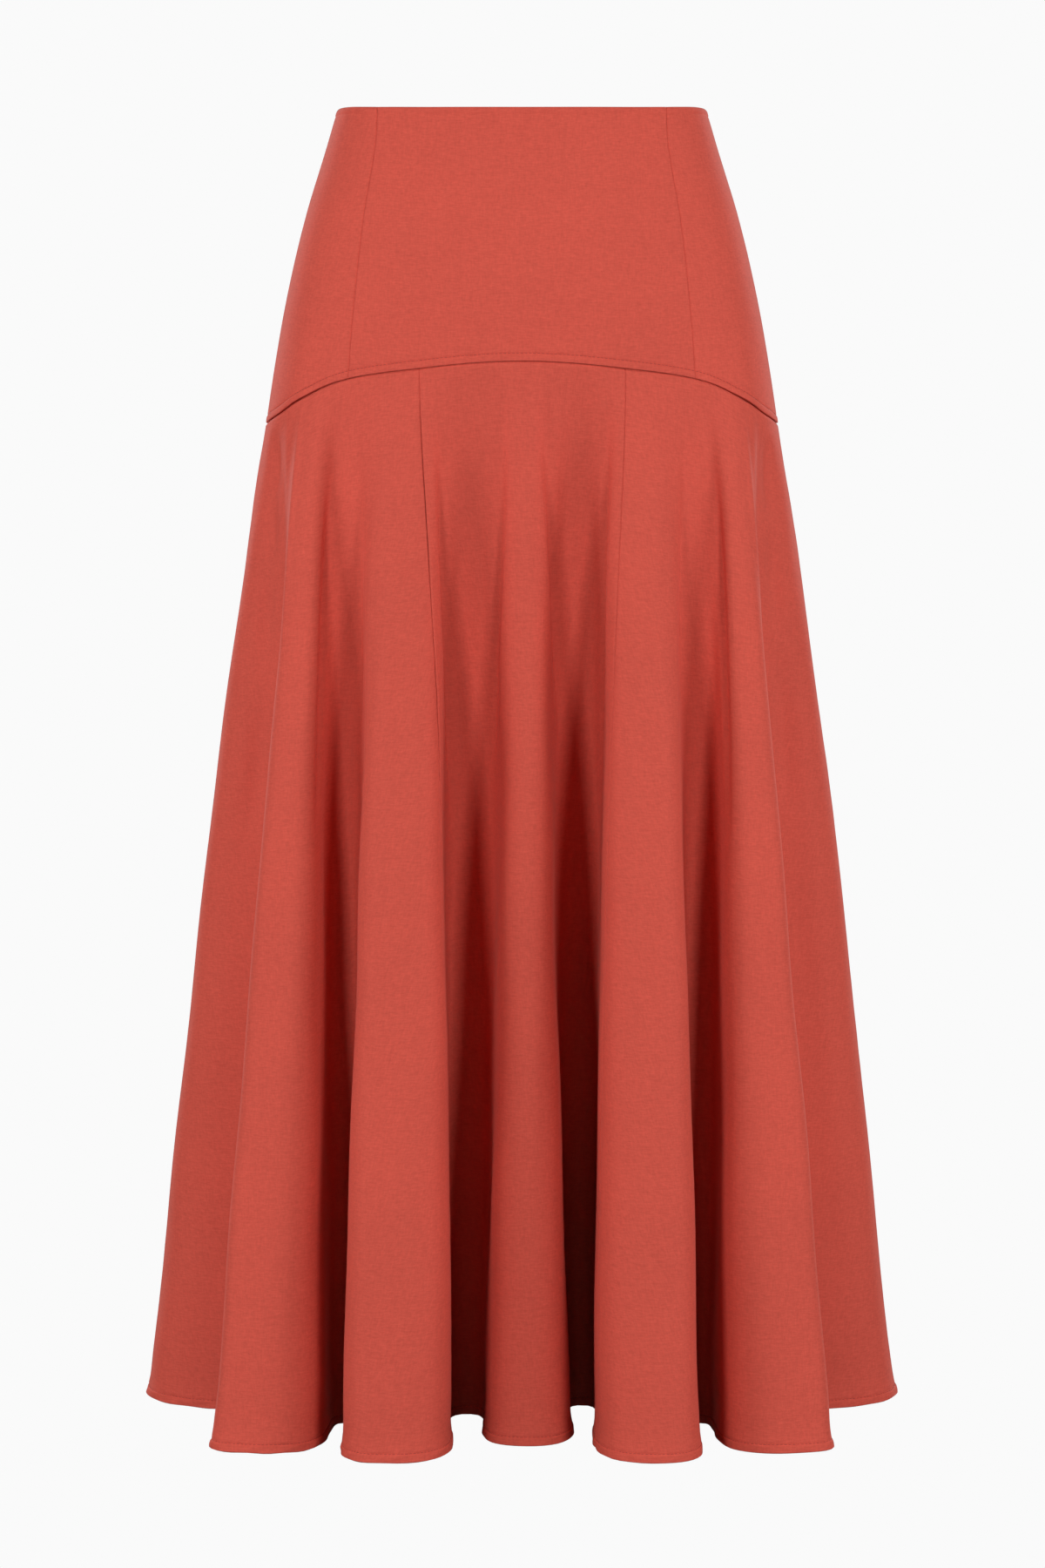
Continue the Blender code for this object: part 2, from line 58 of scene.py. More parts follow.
BODY = (
    # z, half_width, front, back, square
    (0.0, 126.5, 91.0, 95.0, 2.15),
    (-34.0, 136.5, 99.0, 105.0, 2.15),
    (-70.0, 147.6, 107.0, 116.0, 2.20),
    (-106.0, 157.0, 113.5, 126.0, 2.25),
    (-142.0, 164.8, 118.5, 133.5, 2.30),
    (-178.0, 171.0, 122.0, 138.0, 2.35),
    (-218.0, 177.1, 124.5, 140.0, 2.40),
)
YOKE_SEAM = (
    # azimuth, z
    (0.0, -169.4),
    (15.0, -170.7),
    (30.0, -174.3),
    (45.0, -179.5),
    (55.0, -186.0),
    (65.0, -198.0),
    (75.0, -210.0),
    (90.0, -217.5),
)
FOLDS = (
    # name, start, x, reach, faces, before, after, swell
    ("crown_side_right", -87.0, -263.5, 3.0, -84.0, 44.0, 62.0, 1.2),
    ("floor_1", -71.5, -162.0, 84.0, -60.0, 40.0, 34.0, 2.0),
    ("crown_2", -60.0, -178.0, 193.0, -6.0, 88.0, 68.0, 1.1),
    ("floor_2", -50.5, -119.5, 101.0, -18.0, 30.0, 24.0, 4.5),
    ("crown_3", -35.0, -90.0, 222.7, 0.0, 64.0, 80.0, 1.6),
    ("floor_3", -15.3, -38.0, 71.5, 0.0, 42.0, 32.0, 3.2),
    ("crown_front", 1.5, 3.0, 171.0, 0.0, 54.0, 64.0, 0.9),
    ("floor_4", 17.2, 42.5, 43.5, 0.0, 36.0, 36.0, 3.2),
    ("crown_5", 35.0, 90.5, 222.7, 0.0, 78.0, 62.0, 1.5),
    ("floor_5", 50.5, 120.0, 101.0, 18.0, 24.0, 30.0, 4.5),
    ("crown_6", 60.0, 178.0, 193.0, 6.0, 68.0, 87.0, 1.1),
    ("floor_6", 71.5, 162.0, 84.0, 60.0, 34.0, 40.0, 2.0),
    ("crown_side_left", 88.0, 263.5, 3.0, 84.0, 62.0, 44.0, 1.2),
    ("floor_7", 104.0, 166.0, -58.0, 106.0, 40.0, 36.0, 2.2),
    ("crown_8", 118.0, 196.0, -160.0, 132.0, 66.0, 62.0, 1.3),
    ("floor_8", 131.0, 122.0, -104.0, 140.0, 30.0, 28.0, 2.4),
    ("crown_9", 145.0, 106.0, -226.0, 160.0, 62.0, 66.0, 1.4),
    ("floor_9", 159.0, 62.0, -92.0, 164.0, 30.0, 34.0, 2.6),
    ("crown_back", 174.0, 12.0, -214.0, 178.0, 58.0, 62.0, 1.1),
    ("floor_10", 189.0, -36.0, -86.0, 184.0, 30.0, 32.0, 2.6),
    ("crown_11", 204.0, -88.0, -232.0, 198.0, 70.0, 60.0, 1.5),
    ("floor_11", 219.0, -116.0, -112.0, 214.0, 28.0, 30.0, 2.4),
    ("crown_12", 233.0, -184.0, -174.0, 226.0, 58.0, 66.0, 1.2),
    ("floor_12", 253.0, -170.0, -64.0, 256.0, 38.0, 40.0, 2.2),
)
GORE_SEAMS = {
    # name: fold, share at the yoke, share at the hem
    "side_right": ("floor_12", 0.85, 0.92),
    "front_right": ("crown_3", 0.215, 0.47),
    "front_left": ("floor_4", 0.775, 0.67),
    "side_left": ("crown_side_left", 0.125, 0.08),
    "back_left": ("floor_8", 1.20, 0.95),
    "back_right": ("crown_11", 0.55, 0.10),
}
GORES = (
    # node, seam before, seam after
    ("gore_side_front_right", "side_right", "front_right"),
    ("gore_front_centre", "front_right", "front_left"),
    ("gore_side_front_left", "front_left", "side_left"),
    ("gore_side_back_left", "side_left", "back_left"),
    ("gore_back_centre", "back_left", "back_right"),
    ("gore_side_back_right", "back_right", "side_right"),
)
YOKE_FRONT_SEAM = (
    # z, azimuth
    (0.0, 58.4),
    (-23.0, 55.8),
    (-72.0, 53.6),
    (-120.0, 51.8),
    (-175.0, 50.4),
)
YOKE_BACK_SEAM = (
    # z, azimuth
    (0.0, 125.0),
    (-60.0, 128.5),
    (-120.0, 131.0),
    (-185.0, 132.5),
)
YOKE_PANELS = (
    # node, seam before, seam after
    ("yoke_side_front_right", "-side", "-front"),
    ("yoke_front_centre", "-front", "+front"),
    ("yoke_side_front_left", "+front", "+side"),
    ("yoke_side_back_left", "+side", "+back"),
    ("yoke_back_centre_left", "+back", "centre_back"),
    ("yoke_back_centre_right", "centre_back", "-back"),
    ("yoke_side_back_right", "-back", "-side"),
)
WAIST_DIP = 3.2         # the waist edge is this much lower at the side seams
WAIST_DIP_FROM = 68.0   # and starts to fall at this azimuth

# small soft creases besides the folds, listed one by one: where each runs on the folds at its top and its
# bottom, from what share of the way down to what, how wide, and how proud (negative is a trough)
CREASES = (
    # fold_top, fold_bottom, from, to, half_width, proud
    (0.81, 0.76, 0.012, 0.085, 8.0, -3.2),
    (0.76, 0.72, 0.082, 0.150, 7.5, -2.6),
    (0.70, 0.66, 0.150, 0.260, 9.0, -3.3),
    (0.66, 0.62, 0.280, 0.420, 8.5, -2.4),
    (1.66, 1.72, 0.000, 0.26, 3.6, 1.5),
    (1.22, 1.26, 0.000, 0.13, 5.0, 1.1),
    (2.70, 2.36, 0.020, 0.44, 4.2, -3.7),
    (2.55, 2.62, 0.420, 0.76, 6.0, 1.1),
    (3.18, 3.18, 0.040, 0.34, 4.8, -2.4),
    (3.46, 3.60, 0.100, 0.40, 6.5, 1.2),
    (4.10, 4.00, 0.100, 0.95, 16.0, -0.8),
    (4.46, 4.88, 0.005, 0.44, 4.2, -4.2),
    (5.05, 5.02, 0.060, 0.46, 7.0, 1.4),
    (5.58, 5.30, 0.010, 0.38, 4.8, -3.6),
    (6.30, 6.80, 0.010, 0.38, 4.8, -3.5),
    (6.20, 6.10, 0.330, 0.86, 9.0, -0.8),
    (7.00, 6.94, 0.060, 0.38, 5.5, 1.9),
    (7.49, 7.28, 0.005, 0.42, 4.4, -4.0),
    (8.05, 7.98, 0.120, 0.98, 17.0, -0.8),
    (8.52, 8.44, 0.100, 0.36, 6.5, 1.1),
    (8.81, 8.76, 0.030, 0.31, 4.8, -2.4),
    (9.38, 9.66, 0.020, 0.43, 4.2, -3.7),
    (9.80, 9.74, 0.450, 0.86, 7.5, 1.0),
    (10.32, 10.48, 0.000, 0.24, 3.6, 1.5),
    (10.68, 10.62, 0.000, 0.12, 5.0, 1.0),
    (11.18, 11.23, 0.020, 0.100, 8.0, -3.2),
    (11.27, 11.31, 0.108, 0.215, 8.5, -3.3),
    (11.32, 11.36, 0.235, 0.390, 9.0, -2.6),
    (11.50, 11.60, 0.300, 0.84, 9.0, 1.0),
    (12.40, 12.50, 0.150, 0.60, 10.0, -1.1),
    (13.45, 13.32, 0.030, 0.32, 4.2, -2.0),
    (13.60, 13.40, 0.360, 0.85, 8.0, 1.1),
    (14.30, 14.20, 0.140, 0.58, 10.0, -1.0),
    (14.56, 14.72, 0.020, 0.35, 4.1, -2.1),
    (15.48, 15.36, 0.020, 0.39, 3.8, -2.4),
    (15.40, 15.60, 0.400, 0.78, 7.0, 1.1),
    (16.10, 16.00, 0.150, 0.92, 15.0, -0.8),
    (16.48, 16.66, 0.030, 0.30, 4.4, -2.0),
    (17.47, 17.32, 0.020, 0.37, 4.0, -2.5),
    (17.02, 17.00, 0.100, 0.45, 7.0, 1.3),
    (18.20, 18.10, 0.300, 0.95, 13.0, -0.9),
    (18.54, 18.70, 0.040, 0.34, 3.8, -2.2),
    (19.42, 19.30, 0.030, 0.28, 4.3, -1.9),
    (19.50, 19.60, 0.380, 0.72, 8.0, 1.0),
    (20.10, 20.20, 0.200, 0.90, 15.0, -0.8),
    (20.50, 20.70, 0.020, 0.41, 3.7, -2.5),
    (21.44, 21.30, 0.050, 0.31, 4.4, -1.9),
    (21.50, 21.40, 0.380, 0.66, 8.0, 1.0),
    (22.20, 22.30, 0.250, 0.80, 12.0, -0.9),
    (22.55, 22.68, 0.030, 0.33, 4.0, -2.0),
    (23.50, 23.40, 0.200, 0.75, 9.0, 1.0),
)

TOPSTITCH = 5.0         # above the yoke seam
HEM_STITCH = 5.5        # above the hem's edge
WAIST_LINE = 4.6        # the pressed line under the waist edge
STITCH = 2.25
STITCH_STEP = 2.85
THREAD = 0.19           # its radius

# the concealed zip in the centre back seam
ZIP_BOTTOM = -164.0
ZIP_IN = 3.42           # how far inside the yoke's outer face the closed coil's middle runs
COIL_AT = 1.1           # each half's middle is this far from the seam
COIL_LOOP = 0.80
COIL_PITCH = 1.25
COIL_WIRE = 0.25
HEAD_Z = -9.5           # the slider's middle
HEAD_OPENING = 3.5      # the seam is held open this far above and below it
HEAD_GAP = 1.05         # and this far to each side

# rows and columns crowd towards every edge: distances from it
EDGE_COLUMNS = (0.0, 0.18, 0.42, 0.8, 1.5, 2.8, 4.8, 8.0)
YOKE_TOP_ROWS = (0.0, 0.35, 0.8, 1.5, 2.5, 3.6, 4.2, 4.6, 5.0, 5.6, 6.1, 7.0, 8.5, 10.0, 11.5, 12.5, 13.1, 13.7,
                 14.6, 16.5)
YOKE_LOW_ROWS = (0.0, 0.25, 0.6, 1.1, 1.8, 2.7, 3.6, 4.2, 4.6, 5.0, 5.4, 5.9, 6.8, 8.6, 11.5)
GORE_TOP_ROWS = (-2.6, -1.4, -0.5, 0.2, 0.8, 1.5, 2.4, 3.6, 5.2, 7.5, 10.5, 14.5, 19.5)
GORE_LOW_ROWS = (0.0, 0.3, 0.8, 1.6, 2.6, 3.8, 4.6, 5.1, 5.5, 5.9, 6.4, 7.4, 9.4, 12.5, 17.0)


def read(table, column, at):
    """Smooth reading of a table whose first column rises or falls steadily."""
    rows = sorted(table, key=lambda row: row[0])
    x = np.array([row[0] for row in rows], float)
    y = np.array([row[column] for row in rows], float)
    slope = np.empty_like(y)
    slope[1:-1] = (y[2:] - y[:-2]) / (x[2:] - x[:-2])
    slope[0] = (y[1] - y[0]) / (x[1] - x[0])
    slope[-1] = (y[-1] - y[-2]) / (x[-1] - x[-2])
    at = np.clip(np.asarray(at, float), x[0], x[-1])
    i = np.clip(np.searchsorted(x, at) - 1, 0, len(x) - 2)
    h = x[i + 1] - x[i]
    s = (at - x[i]) / h
    return ((1 + 2 * s) * (1 - s) ** 2 * y[i] + s * (1 - s) ** 2 * h * slope[i]
            + s * s * (3 - 2 * s) * y[i + 1] + s * s * (s - 1) * h * slope[i + 1])


YOKE_SEAM_MIRRORED = (tuple((-row[0], row[1]) for row in YOKE_SEAM[1:3]) + YOKE_SEAM
                      + tuple((180.0 - row[0], row[1]) for row in YOKE_SEAM[-3:-1]))


def seam_height(azimuth):
    a = np.abs((np.asarray(azimuth, float) + 180.0) % 360.0 - 180.0)
    return read(YOKE_SEAM_MIRRORED, 1, np.minimum(a, 180.0 - a))


def waist_height(azimuth):
    a = np.abs((np.asarray(azimuth, float) + 180.0) % 360.0 - 180.0)
    a = np.minimum(a, 180.0 - a)
    return -WAIST_DIP * np.clip((a - WAIST_DIP_FROM) / (90.0 - WAIST_DIP_FROM), 0, 1) ** 2


def body_ring(azimuth, z):
    a = np.radians(azimuth)
    n = read(BODY, 4, z)
    depth = np.where(np.cos(a) >= 0, read(BODY, 2, z), read(BODY, 3, z))
    r = (np.abs(np.sin(a) / read(BODY, 1, z)) ** n + np.abs(np.cos(a) / depth) ** n) ** (-1 / n)
    return r * np.sin(a), r * np.cos(a)


def seam_ring(azimuth):
    return body_ring(azimuth, seam_height(azimuth))


WALLS = len(FOLDS)
NAMES = [fold[0] for fold in FOLDS]


def column(number):
    return np.array([fold[number] for fold in FOLDS] + [FOLDS[0][number]], float)


START = column(1)
for fold_number in range(1, WALLS + 1):
    while START[fold_number] < START[fold_number - 1]:
        START[fold_number] += 360.0
HEM_X, HEM_REACH, HEM_FACES, BEFORE, AFTER, SWELL = (column(number) for number in range(2, 8))
TOP_X, TOP_REACH = seam_ring(START)
ahead, behind = seam_ring(START + 0.5), seam_ring(START - 0.5)
TOP_FACES = np.degrees(np.arctan2(behind[1] - ahead[1], ahead[0] - behind[0]))
TURN = (HEM_FACES - TOP_FACES + 180.0) % 360.0 - 180.0
THIRD = np.hypot(np.diff(TOP_X), np.diff(TOP_REACH)) / 3.0


def wall_curve(wall, share, spread, down):
    nxt = wall + 1
    leave = np.radians(TOP_FACES[wall] + TURN[wall] * spread)
    reach = np.radians(TOP_FACES[nxt] + TURN[nxt] * spread)
    after = THIRD[wall] + (AFTER[wall] - THIRD[wall]) * (1 - (1 - down) ** SWELL[wall])
    before = THIRD[wall] + (BEFORE[nxt] - THIRD[wall]) * (1 - (1 - down) ** SWELL[nxt])
    point = []
    for top, hem, out, into in ((TOP_X, HEM_X, np.cos(leave), np.cos(reach)),
                                (TOP_REACH, HEM_REACH, -np.sin(leave), -np.sin(reach))):
        p = top[wall] + (hem[wall] - top[wall]) * spread
        s = top[nxt] + (hem[nxt] - top[nxt]) * spread
        q, r = p + out * after, s - into * before
        point.append(p * (1 - share) ** 3 + 3 * q * share * (1 - share) ** 2
                     + 3 * r * share ** 2 * (1 - share) + s * share ** 3)
    return point


def skirt_row(down, steps=60):
    """The closed row of cloth, twice round: fold number, x, reach, z, length along it."""
    wall = np.append(np.repeat(np.arange(WALLS), steps), WALLS - 1)
    share = np.append(np.tile(np.arange(steps) / steps, WALLS), 1.0)
    azimuth = START[wall] + (START[wall + 1] - START[wall]) * share
    base_x, base_reach = seam_ring(azimuth)
    x, reach = wall_curve(wall, share, down + FALL * down * (1 - down) ** SPREAD_EASE, down)
    flat_x, flat_reach = wall_curve(wall, share, 0.0, 0.0)
    x, reach = base_x + x - flat_x, base_reach + reach - flat_reach
    top = seam_height(azimuth)
    z = top + (HEM_Z - top) * down
    length = np.append(0.0, np.cumsum(np.hypot(np.diff(x), np.diff(reach))))
    fold = np.interp(length, length[::steps], np.arange(WALLS + 1))
    fold = np.concatenate((fold, fold[1:] + WALLS))
    length = np.concatenate((length, length[1:] + length[-1]))
    azimuth = np.concatenate((azimuth, azimuth[1:] + 360.0))
    x, reach, z = (np.concatenate((v, v[1:])) for v in (x, reach, z))
    return fold, x, reach, z, length, azimuth


def seam_fold(name, down):
    fold, at_yoke, at_hem = GORE_SEAMS[name]
    return NAMES.index(fold) + at_yoke + (at_hem - at_yoke) * (1 - (1 - down) ** SEAM_EASE)


def ease(x):
    x = np.clip(x, 0.0, 1.0)
    return x * x * (3 - 2 * x)


def bell(x):
    return np.exp(-x * x)


# ---- panels ----------------------------------------------------------------------------------------------
def normals_of(points):
    """Outward normals of a grid of points, rows downwards, columns clockwise from above."""
    down = np.gradient(points, axis=0)
    across = np.gradient(points, axis=1)
    n = np.cross(down, across)
    return n / np.maximum(np.linalg.norm(n, axis=2, keepdims=True), 1e-9)


def away(edge, inner):
    d = edge - inner
    return d / np.maximum(np.linalg.norm(d, axis=-1, keepdims=True), 1e-9)


def closed_panel(name, points, thick, uv, look, rim=0.36, proud=None):
    """A closed thin panel: the outer face, the inner face a thickness further in, and rounded rims."""
    rows, cols, _ = points.shape
    n = normals_of(points)
    if proud is not None:
        points = points + n * proud[..., None]
        n = normals_of(points)
    inner = points - n * thick[..., None]
    middle = (points + inner) / 2
    ring_out, ring_in, ring_mid, ring_uv = [], [], [], []
    index = np.arange(rows * cols).reshape(rows, cols)
    # the boundary once round: top left to right, right side down, bottom right to left, left side up
    walk = ([(0, j) for j in range(cols)] + [(i, cols - 1) for i in range(1, rows)]
            + [(rows - 1, j) for j in range(cols - 2, -1, -1)] + [(i, 0) for i in range(rows - 2, 0, -1)])
    rim_points = []
    for i, j in walk:
        out = np.zeros(3)
        if i == 0:
            out += away(points[0, j], points[1, j])
        if i == rows - 1:
            out += away(points[-1, j], points[-2, j])
        if j == 0:
            out += away(points[i, 0], points[i, 1])
        if j == cols - 1:
            out += away(points[i, -1], points[i, -2])
        out /= max(np.linalg.norm(out), 1e-9)
        rim_points.append(middle[i, j] + out * min(rim, thick[i, j] * 0.42))
    rim_points = np.array(rim_points)
    verts = np.concatenate((points.reshape(-1, 3), inner.reshape(-1, 3), rim_points)) * MM
    count = rows * cols
    a, b = index[:-1, :-1].ravel(), index[1:, :-1].ravel()
    c, d = index[1:, 1:].ravel(), index[:-1, 1:].ravel()
    faces = [np.stack((a, b, c, d), 1), np.stack((d, c, b, a), 1) + count]
    loop = np.array([index[i, j] for i, j in walk])
    nxt = np.roll(loop, -1)
    rim_at = 2 * count + np.arange(len(walk))
    rim_nxt = np.roll(rim_at, -1)
    faces.append(np.stack((nxt, rim_nxt, rim_at, loop), 1)[:, ::-1][:, ::-1])
    faces.append(np.stack((rim_nxt, nxt + count, loop + count, rim_at), 1))
    faces = np.concatenate(faces)
    mesh = bpy.data.meshes.new(name)
    mesh.vertices.add(len(verts))
    mesh.vertices.foreach_set("co", verts.ravel())
    mesh.loops.add(faces.size)
    mesh.loops.foreach_set("vertex_index", faces.ravel().astype(np.int32))
    mesh.polygons.add(len(faces))
    mesh.polygons.foreach_set("loop_start", np.arange(0, faces.size, 4, dtype=np.int32))
    layer_uv = np.concatenate((uv.reshape(-1, 2), uv.reshape(-1, 2), np.array([uv[i, j] for i, j in walk])))
    mesh.update(calc_edges=True)
    layer = mesh.uv_layers.new(name="cloth")
    layer.data.foreach_set("uv", layer_uv[faces.ravel()].ravel().astype(np.float32))
    mesh.shade_smooth()
    mesh.materials.append(look)
    mesh.validate()
    obj = bpy.data.objects.new(name, mesh)
    bpy.context.scene.collection.objects.link(obj)
    area = sum(np.linalg.norm(np.cross(points[1:, :-1] - points[:-1, :-1], points[:-1, 1:] - points[:-1, :-1]),
                              axis=2).ravel()) * MM * MM
    return obj, points, normals_of(points), area


def gore_panel(name, before, after, look):
    start, end = seam_fold(before, 1.0), seam_fold(after, 1.0)
    end += WALLS if end < start else 0
    inside = 26 * (end - start)
    share = np.linspace(0, 1, int(inside))
    length_down = 714.0
    distances = (list(GORE_TOP_ROWS) + list(np.linspace(25.5, length_down - 23.0, 104))
                 + [length_down - d for d in GORE_LOW_ROWS[::-1]])
    points, edge_a, edge_b, from_top, uv, folds, downs, azimuths, along_all = [], [], [], [], [], [], [], [], []
    for distance in distances:
        down = min(max(distance / length_down, 0.0), 1.0)
        fold, x, reach, z, length, azimuth = skirt_row(down)
        a, b = seam_fold(before, down), seam_fold(after, down)
        b += WALLS if b < a else 0
        sa, sb = np.interp((a, b), fold, length)
        sa, sb = sa + CLEAR, sb - CLEAR
        along = np.interp(a + (b - a) * share, fold, length)
        first, last = sa + EDGE_COLUMNS[-1] * 1.35, sb - EDGE_COLUMNS[-1] * 1.35
        along = first + (along - along[0]) * (last - first) / (along[-1] - along[0])
        along = np.concatenate((sa + np.array(EDGE_COLUMNS), along, sb - np.array(EDGE_COLUMNS[::-1])))
        az = np.interp(along, length, azimuth)
        if distance < 0:
            # the turning that goes up behind the yoke
            height = seam_height(az) - distance
            px, pr = body_ring(az, height)
        else:
            px, pr, height = (np.interp(along, length, v) for v in (x, reach, z))
        points.append(np.stack((px, -pr, height), 1))
        edge_a.append(along - sa)
        edge_b.append(sb - along)
        from_top.append(np.full(len(along), distance))
        uv.append(np.stack((along - (sa + sb) / 2, np.full(len(along), -distance)), 1) * MM)
        folds.append(np.interp(along, length, fold))
        downs.append(np.full(len(along), down))
        azimuths.append(az)
        along_all.append(along)
    points, edge_a, edge_b, from_top, uv, folds, downs, along_all = (
        np.array(v) for v in (points, edge_a, edge_b, from_top, uv, folds, downs, along_all))
    edge = np.minimum(edge_a, edge_b)
    from_hem = length_down - from_top
    proud = np.zeros(edge.shape)
    # under the yoke's folded edge, then out to the form within a few millimetres
    proud -= 1.50 * (1 - ease((from_top + 0.3) / 2.6)) + 1.0 * bell((from_top - 0.15) / 0.6)
    # the hem: turned up twice, so thicker, sewn down along its upper edge, and flipping out a little
    proud += 0.50 * ease((HEM_STITCH + 0.4 - from_hem) / 0.9) - 0.42 * bell((from_hem - HEM_STITCH) / 0.55)
    proud += 1.15 * ease((16.0 - from_hem) / 16.0)
    proud += 0.32 * np.sin(along_all / 5.1 + 1.7 * np.sin(along_all / 31.0)) * ease((13.0 - from_hem) / 11.0)
    # sewn seams pull in and pucker very slightly
    proud -= 0.45 * bell(edge / 0.55) + 0.12 * bell(edge / 4.5)
    proud += 0.09 * bell(edge / 6.0) * np.sin(from_top / 4.3 + 1.9 * np.sin(from_top / 27.0))
    # the small creases, one by one
    settle = ease((from_top - 4.0) / 40.0) * ease((from_hem - 4.0) / 40.0)
    for row in range(len(points)):
        down = downs[row, 0]
        for fold_top, fold_low, d0, d1, half, height in CREASES:
            if not d0 <= down <= d1:
                continue
            k = (down - d0) / (d1 - d0)
            centre = fold_top + (fold_low - fold_top) * k
            for centre in (centre, centre + WALLS):
                if folds[row, 0] <= centre <= folds[row, -1]:
                    at = np.interp(centre, folds[row], along_all[row])
                    swell = math.sin(math.pi * k) ** 0.9
                    proud[row] += height * swell * bell((along_all[row] - at) / half)
    # slow unevenness of hanging cloth
    drift = (0.55 * np.sin(folds * 2.3 + from_top / 63.0 + 0.7) * np.sin(from_top / 97.0 + folds * 0.9)
             + 0.38 * np.sin(folds * 5.1 - from_top / 41.0) * np.sin(from_top / 71.0 + 2.0)
             + 0.20 * np.sin(folds * 11.3 + from_top / 29.0))
    proud += drift * settle * 1.2
    thick = 0.72 + 0.95 * ease((HEM_STITCH + 0.4 - from_hem) / 0.9)
    obj, outer, normals, area = closed_panel("cloth_" + name, points, thick, uv, look, proud=proud)
    lengths = (edge_a[-1, -1] - edge_a[-1, 0], edge_a[13, -1] - edge_a[13, 0])
    return obj, outer, normals, area, dict(hem=lengths[0], top=lengths[1], from_hem=from_hem, along=along_all,
                                           folds=folds)


def yoke_azimuth(seam, v):
    if seam == "centre_back":
        return 180.0
    sign = -1.0 if seam[0] == "-" else 1.0
    if seam[1:] == "side":
        return sign * 90.0
    table = YOKE_FRONT_SEAM if seam[1:] == "front" else YOKE_BACK_SEAM
    azimuth = 90.0
    for _ in range(6):
        azimuth = float(read(table, 1, v * seam_height(azimuth)))
    return sign * azimuth


def yoke_panel(name, before, after, look):
    middle = np.linspace(0, 1, 26)[1:-1]
    # each row: how far between the upper rows and the lower rows, and a distance from its end
    rows = ([("top", d) for d in YOKE_TOP_ROWS] + [("between", k) for k in middle]
            + [("low", d) for d in YOKE_LOW_ROWS[::-1]])
    wide = (40 if name == "yoke_front_centre" else 22)
    points, edge, from_low, from_top, uv, azimuths = [], [], [], [], [], []
    for kind, value in rows:
        v = {"top": value / 185.0, "low": 1 - value / 185.0}.get(
            kind, (YOKE_TOP_ROWS[-1] + (185.0 - YOKE_TOP_ROWS[-1] - YOKE_LOW_ROWS[-1]) * value) / 185.0)
        a, b = yoke_azimuth(before, v), yoke_azimuth(after, v)
        b += 360.0 if b < a else 0.0
        fine = np.linspace(a, b, 240)
        fx, fr = body_ring(fine, v * seam_height(fine))
        length = np.append(0.0, np.cumsum(np.hypot(np.diff(fx), np.diff(fr))))
        at_height = -value if kind == "top" else -50.0
        open_by = (HEAD_GAP - CLEAR) * float(ease((HEAD_OPENING + 0.9 - abs(at_height - HEAD_Z)) / 0.9))
        sa = CLEAR + (open_by if before == "centre_back" else 0.0)
        sb = length[-1] - CLEAR - (open_by if after == "centre_back" else 0.0)
        first, last = sa + EDGE_COLUMNS[-1] * 1.4, sb - EDGE_COLUMNS[-1] * 1.4
        along = np.concatenate((sa + np.array(EDGE_COLUMNS), np.linspace(first, last, wide),
                                sb - np.array(EDGE_COLUMNS[::-1])))
        az = np.interp(along, length, fine)
        high, low = waist_height(az), seam_height(az)
        if kind == "top":
            z = high - value
        elif kind == "low":
            z = low + value
        else:
            z = high - YOKE_TOP_ROWS[-1] + (low + YOKE_LOW_ROWS[-1] - high + YOKE_TOP_ROWS[-1]) * value
        x, reach = body_ring(az, z)
        points.append(np.stack((x, -reach, z), 1))
        edge.append(np.minimum(along - sa, sb - along))
        from_low.append(z - low)
        from_top.append(high - z)
        uv.append(np.stack((along - length[-1] / 2, z), 1) * MM)
        azimuths.append(az)
    points, edge, from_low, from_top, uv, azimuths = (
        np.array(k) for k in (points, edge, from_low, from_top, uv, azimuths))
    proud = np.zeros(edge.shape)
    # the folded lower edge, padded by the turnings under it and held down by the topstitching
    proud += 0.34 * ease((TOPSTITCH + 0.2 - from_low) / 1.6) - 0.42 * bell((from_low - TOPSTITCH) / 0.60)
    proud -= 0.16 * bell(from_low / 0.5)
    # the waist edge: turned in over its stay, with a pressed line below
    proud += 0.28 * ease((WAIST_LINE - from_top) / 1.2) - 0.22 * bell((from_top - WAIST_LINE) / 0.6)
    proud -= 0.55 * bell(from_top / 0.7)
    # shaped seams
    proud -= 0.45 * bell(edge / 0.5) + 0.10 * bell(edge / 4.0)
    proud += 0.05 * bell(edge / 5.0) * np.sin(points[..., 2] / 4.1 + 1.3 * np.sin(points[..., 2] / 23.0))
    # the hip's soft corner, and a slow unevenness
    folded = np.minimum(np.abs((azimuths + 180) % 360 - 180), 180 - np.abs((azimuths + 180) % 360 - 180))
    proud += 1.0 * bell((folded - 66.0) / 4.2) * ease((-points[..., 2] - 120.0) / 70.0)
    proud += 0.22 * np.sin(azimuths / 9.0 + points[..., 2] / 37.0) * np.sin(points[..., 2] / 53.0 + azimuths / 31.0)
    thick = 0.85 + 0.55 * ease((4.4 - from_low) / 1.2) + 0.75 * ease((3.4 - from_top) / 1.5)
    obj, outer, normals, area = closed_panel("cloth_" + name, points, thick, uv, look, proud=proud)
    return obj, outer, normals, area, dict(from_low=from_low, azimuths=azimuths)


